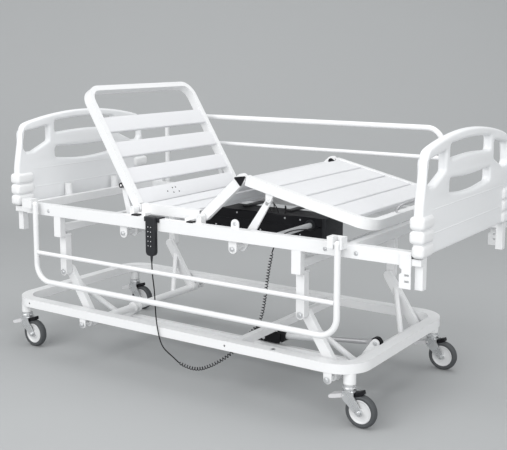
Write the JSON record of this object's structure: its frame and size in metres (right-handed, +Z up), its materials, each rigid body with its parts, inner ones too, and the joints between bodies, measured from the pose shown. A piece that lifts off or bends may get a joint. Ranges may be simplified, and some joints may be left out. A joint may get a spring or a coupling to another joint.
{
  "type": "hospital bed",
  "caption": "Electric hospital bed on castors with a height lift, tilting back, thigh and leg sections, lift-off end boards and fold-down side rails.",
  "frame": {"origin": "on the floor, under the middle of the bed's overall length and width", "axes": "+X from the headboard to the footboard, +Y from the near side, with the lowered side rail, to the far side, +Z up"},
  "size_m": [2.082, 0.952, 1.2143],
  "materials": {
    "white_paint": "smooth semi-gloss powder coat",
    "slat_paint": "smooth semi-gloss powder coat",
    "board_plastic": "satin moulded",
    "bumper_plastic": "satin moulded",
    "black_plastic": "satin",
    "black_metal": "satin",
    "handset_plastic": "fine grain",
    "grey_tube": "satin",
    "bright_steel": "brushed",
    "caster_zinc": "zinc plated",
    "caster_tyre": "matt rubber",
    "pedal_plastic": "satin"
  },
  "bodies": {
    "base": {"base_ring": "white_paint", "base_cross_tube": "white_paint", "caster_sockets": "white_paint", "swing_lugs": "white_paint"},
    "head_swing": {"head_swing_frame": "white_paint"},
    "foot_swing": {"foot_swing_frame": "white_paint"},
    "coupling": {"coupling_bar": "white_paint"},
    "lift_drive": {"lift_motor": "black_plastic", "lift_outer_tube": "grey_tube"},
    "lift_ram": {"lift_rod": "bright_steel"},
    "chassis": {"chassis_rail_near": "white_paint", "chassis_rail_far": "white_paint", "chassis_cross_tubes": "white_paint", "head_leg_frame": "white_paint", "foot_leg_frame": "white_paint", "head_board_posts": "white_paint", "foot_board_posts": "white_paint", "corner_plates": "white_paint", "shaft_lugs": "white_paint", "hinge_blocks": "white_paint", "side_rail_blocks": "white_paint", "pole_sockets": "white_paint", "seat_tubes": "white_paint", "seat_slats": "slat_paint", "drive_box": "black_plastic", "drive_hangers": "black_metal", "handset_case": "handset_plastic", "cord_lead": "black_plastic", "cord_curl": "black_plastic", "cord_tail": "black_plastic"},
    "headboard": {"headboard": "board_plastic", "headboard_bumpers": "bumper_plastic"},
    "footboard": {"footboard": "board_plastic", "footboard_bumpers": "bumper_plastic"},
    "back_section": {"back_frame": "white_paint", "back_slats": "slat_paint"},
    "thigh_section": {"thigh_frame": "white_paint", "thigh_slats": "slat_paint"},
    "leg_section": {"leg_frame": "white_paint", "leg_slats": "slat_paint", "knee_hinges": "black_plastic"},
    "back_shaft": {"back_lift_shaft": "white_paint"},
    "leg_shaft": {"leg_lift_shaft": "white_paint"},
    "near_side_rail": {"side_rail_near": "white_paint"},
    "far_side_rail": {"side_rail_far": "white_paint"},
    "keypad": {"handset_keys": "handset_plastic"},
    "fork_1": {"caster_fork_1": "caster_zinc"},
    "wheel_1": {"caster_wheel_1": "caster_tyre"},
    "pedal_1": {"caster_pedal_1": "pedal_plastic"},
    "fork_2": {"caster_fork_2": "caster_zinc"},
    "wheel_2": {"caster_wheel_2": "caster_tyre"},
    "pedal_2": {"caster_pedal_2": "pedal_plastic"},
    "fork_3": {"caster_fork_3": "caster_zinc"},
    "wheel_3": {"caster_wheel_3": "caster_tyre"},
    "pedal_3": {"caster_pedal_3": "pedal_plastic"},
    "fork_4": {"caster_fork_4": "caster_zinc"},
    "wheel_4": {"caster_wheel_4": "caster_tyre"},
    "pedal_4": {"caster_pedal_4": "pedal_plastic"}
  },
  "joints": [
    {"name": "height_lift", "type": "hinge", "parent": "base", "child": "head_swing", "pos_m": [-0.558, 0, 0.174], "axis": [0, 1, 0], "range_deg": [-28, 16], "deforming": ["cord_curl"]},
    {"name": "foot_lift", "type": "hinge", "parent": "base", "child": "foot_swing", "pos_m": [0.672, 0, 0.174], "axis": [0, 1, 0], "range_deg": [-28, 16]},
    {"name": "chassis_level", "type": "hinge", "parent": "head_swing", "child": "chassis", "pos_m": [-0.695, 0, 0.388], "axis": [0, 1, 0], "range_deg": [-16, 28]},
    {"name": "bar_level", "type": "hinge", "parent": "head_swing", "child": "coupling", "pos_m": [-0.607, -0.08, 0.119], "axis": [0, 1, 0], "range_deg": [-16, 28]},
    {"name": "drive_tilt", "type": "hinge", "parent": "base", "child": "lift_drive", "pos_m": [0.197, -0.08, 0.172], "axis": [0, 1, 0], "range_deg": [-3, 3]},
    {"name": "ram_stroke", "type": "slide", "parent": "lift_drive", "child": "lift_ram", "axis": [0.9942, 0, 0.1072], "range_m": [-0.03, 0.03]},
    {"name": "back_tilt", "type": "hinge", "parent": "chassis", "child": "back_section", "pos_m": [-0.283, 0, 0.712], "axis": [0, 1, 0], "range_deg": [-58.3, 0]},
    {"name": "back_arm_turn", "type": "hinge", "parent": "chassis", "child": "back_shaft", "pos_m": [-0.319, 0, 0.607], "axis": [0, 1, 0], "range_deg": [-54, 0]},
    {"name": "thigh_tilt", "type": "hinge", "parent": "chassis", "child": "thigh_section", "pos_m": [0.065, 0, 0.712], "axis": [0, 1, 0], "range_deg": [0, 42.2]},
    {"name": "knee_fold", "type": "hinge", "parent": "thigh_section", "child": "leg_section", "pos_m": [0.24502, 0, 0.87523], "axis": [0, 1, 0], "range_deg": [-55.25, 0]},
    {"name": "leg_arm_turn", "type": "hinge", "parent": "chassis", "child": "leg_shaft", "pos_m": [0.24, 0, 0.607], "axis": [0, 1, 0], "range_deg": [0, 40.1]},
    {"name": "near_rail_drop", "type": "hinge", "parent": "chassis", "child": "near_side_rail", "pos_m": [-0.796, -0.464, 0.6915], "axis": [1, 0, 0], "range_deg": [-180, 0]},
    {"name": "far_rail_drop", "type": "hinge", "parent": "chassis", "child": "far_side_rail", "pos_m": [-0.796, 0.464, 0.6915], "axis": [1, 0, 0], "range_deg": [-180, 0]},
    {"name": "headboard_lift", "type": "slide", "parent": "chassis", "child": "headboard", "axis": [0, 0, 1], "range_m": [0, 0.2]},
    {"name": "footboard_lift", "type": "slide", "parent": "chassis", "child": "footboard", "axis": [0, 0, 1], "range_m": [0, 0.2]},
    {"name": "key_press", "type": "slide", "parent": "chassis", "child": "keypad", "axis": [0, 1, 0], "range_m": [0, 0.0008], "stiffness_N_per_m": 400},
    {"name": "caster_1_swivel", "type": "hinge", "parent": "base", "child": "fork_1", "pos_m": [-0.963, -0.38, 0.158], "axis": [0, 0, 1], "continuous": true},
    {"name": "caster_1_roll", "type": "hinge", "parent": "fork_1", "child": "wheel_1", "pos_m": [-0.913, -0.38, 0.0625], "axis": [0, 1, 0], "continuous": true},
    {"name": "caster_1_brake", "type": "hinge", "parent": "fork_1", "child": "pedal_1", "pos_m": [-0.977, -0.38, 0.116], "axis": [0, 1, 0], "range_deg": [-12, 0]},
    {"name": "caster_2_swivel", "type": "hinge", "parent": "base", "child": "fork_2", "pos_m": [-0.963, 0.38, 0.158], "axis": [0, 0, 1], "continuous": true},
    {"name": "caster_2_roll", "type": "hinge", "parent": "fork_2", "child": "wheel_2", "pos_m": [-0.913, 0.38, 0.0625], "axis": [0, 1, 0], "continuous": true},
    {"name": "caster_2_brake", "type": "hinge", "parent": "fork_2", "child": "pedal_2", "pos_m": [-0.977, 0.38, 0.116], "axis": [0, 1, 0], "range_deg": [-12, 0]},
    {"name": "caster_3_swivel", "type": "hinge", "parent": "base", "child": "fork_3", "pos_m": [0.737, -0.38, 0.158], "axis": [0, 0, 1], "continuous": true},
    {"name": "caster_3_roll", "type": "hinge", "parent": "fork_3", "child": "wheel_3", "pos_m": [0.787, -0.38, 0.0625], "axis": [0, 1, 0], "continuous": true},
    {"name": "caster_3_brake", "type": "hinge", "parent": "fork_3", "child": "pedal_3", "pos_m": [0.723, -0.38, 0.116], "axis": [0, 1, 0], "range_deg": [-12, 0]},
    {"name": "caster_4_swivel", "type": "hinge", "parent": "base", "child": "fork_4", "pos_m": [0.737, 0.38, 0.158], "axis": [0, 0, 1], "continuous": true},
    {"name": "caster_4_roll", "type": "hinge", "parent": "fork_4", "child": "wheel_4", "pos_m": [0.787, 0.38, 0.0625], "axis": [0, 1, 0], "continuous": true},
    {"name": "caster_4_brake", "type": "hinge", "parent": "fork_4", "child": "pedal_4", "pos_m": [0.723, 0.38, 0.116], "axis": [0, 1, 0], "range_deg": [-12, 0]}
  ],
  "couplings": [
    {"joint": "foot_lift", "follows": "height_lift", "ratio": 1},
    {"joint": "chassis_level", "follows": "height_lift", "ratio": -1},
    {"joint": "bar_level", "follows": "height_lift", "ratio": -1},
    {"joint": "drive_tilt", "follows": "height_lift", "ratio": 0.04883},
    {"joint": "ram_stroke", "follows": "height_lift", "m_per_rad": 0.05165},
    {"joint": "back_arm_turn", "follows": "back_tilt", "ratio": 0.92},
    {"joint": "knee_fold", "follows": "thigh_tilt", "ratio": -1.308},
    {"joint": "leg_arm_turn", "follows": "thigh_tilt", "ratio": 0.949}
  ]
}
